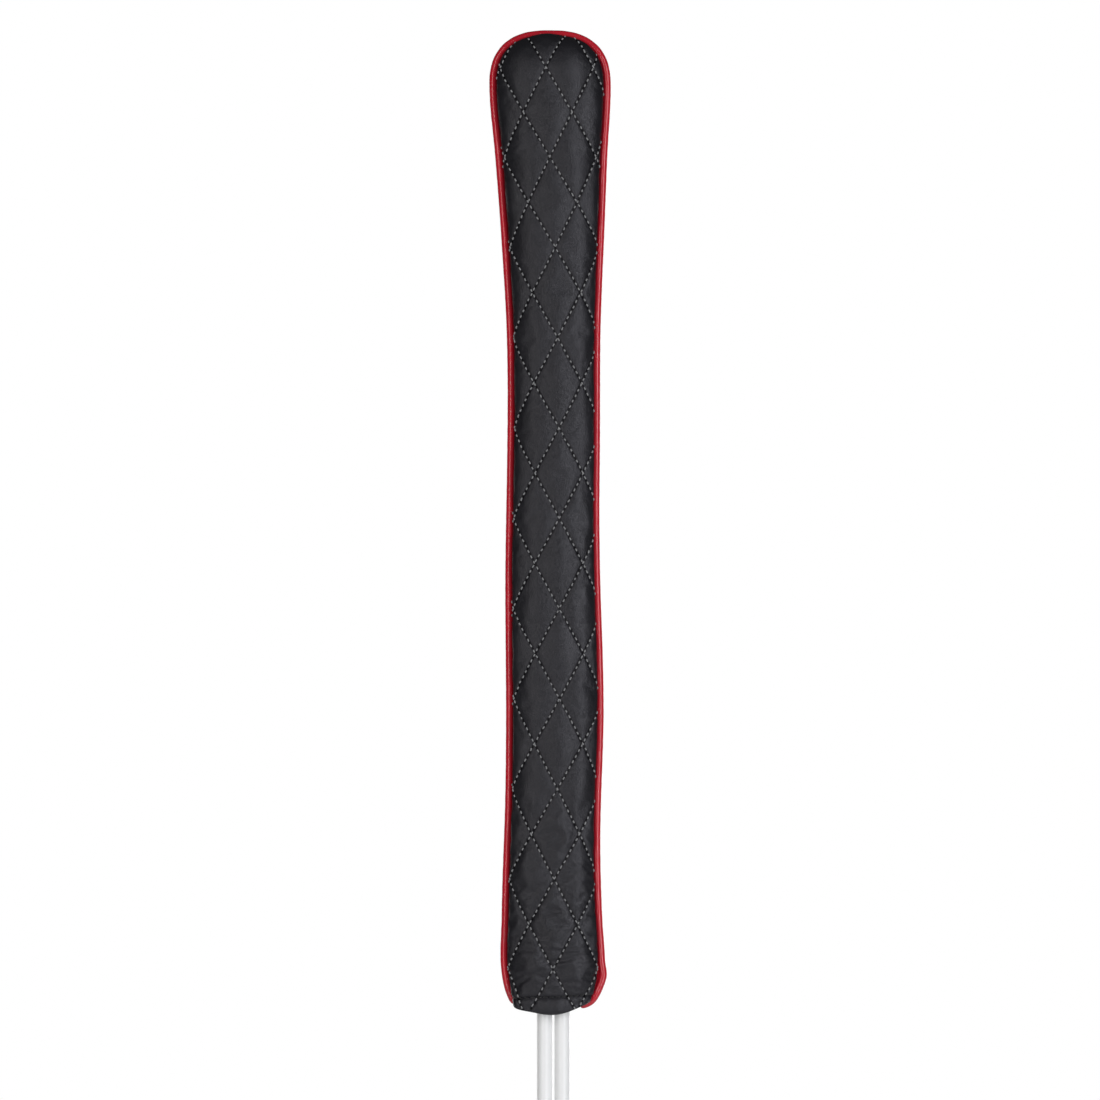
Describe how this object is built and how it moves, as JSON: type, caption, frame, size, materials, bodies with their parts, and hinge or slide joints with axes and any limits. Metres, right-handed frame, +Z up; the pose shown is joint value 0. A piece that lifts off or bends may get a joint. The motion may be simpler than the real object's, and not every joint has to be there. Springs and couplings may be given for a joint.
{
  "type": "alignment stick cover with sticks",
  "caption": "Slim quilted leather sleeve with piped side seams and a hemmed mouth, drawn over round glass-fibre sticks that slide out downwards.",
  "frame": {"origin": "centre of the sleeve's mouth at the middle of its rim, midway between the two sticks", "axes": "+Z up along the sticks from the mouth to the closed head, +X to the right and +Y to the back"},
  "size_m": [0.05, 0.0224, 0.6239],
  "materials": {
    "leather": "satin",
    "piping": "satin",
    "quilt_thread": "matte",
    "hem_thread": "matte",
    "foam": "matte",
    "lining": "matte",
    "elastic": "matte",
    "cotton": "matte",
    "felt": "matte",
    "stick": "satin"
  },
  "bodies": {
    "sleeve": {"front_leather_panel": "leather", "front_foam_padding": "foam", "front_lining": "lining", "front_hem_facing": "leather", "front_mouth_elastic": "elastic", "front_hem_thread": "hem_thread", "back_leather_panel": "leather", "back_foam_padding": "foam", "back_lining": "lining", "back_hem_facing": "leather", "back_mouth_elastic": "elastic", "back_hem_thread": "hem_thread", "piping_welt": "piping", "piping_filler": "cotton", "tip_pad": "felt"},
    "left_stick": {"left_stick": "stick"},
    "right_stick": {"right_stick": "stick"}
  },
  "joints": [
    {"name": "left_stick_slide", "type": "slide", "parent": "sleeve", "child": "left_stick", "axis": [0, 0, -1], "range_m": [0, 0.395]},
    {"name": "right_stick_slide", "type": "slide", "parent": "sleeve", "child": "right_stick", "axis": [0, 0, -1], "range_m": [0, 0.395]}
  ]
}
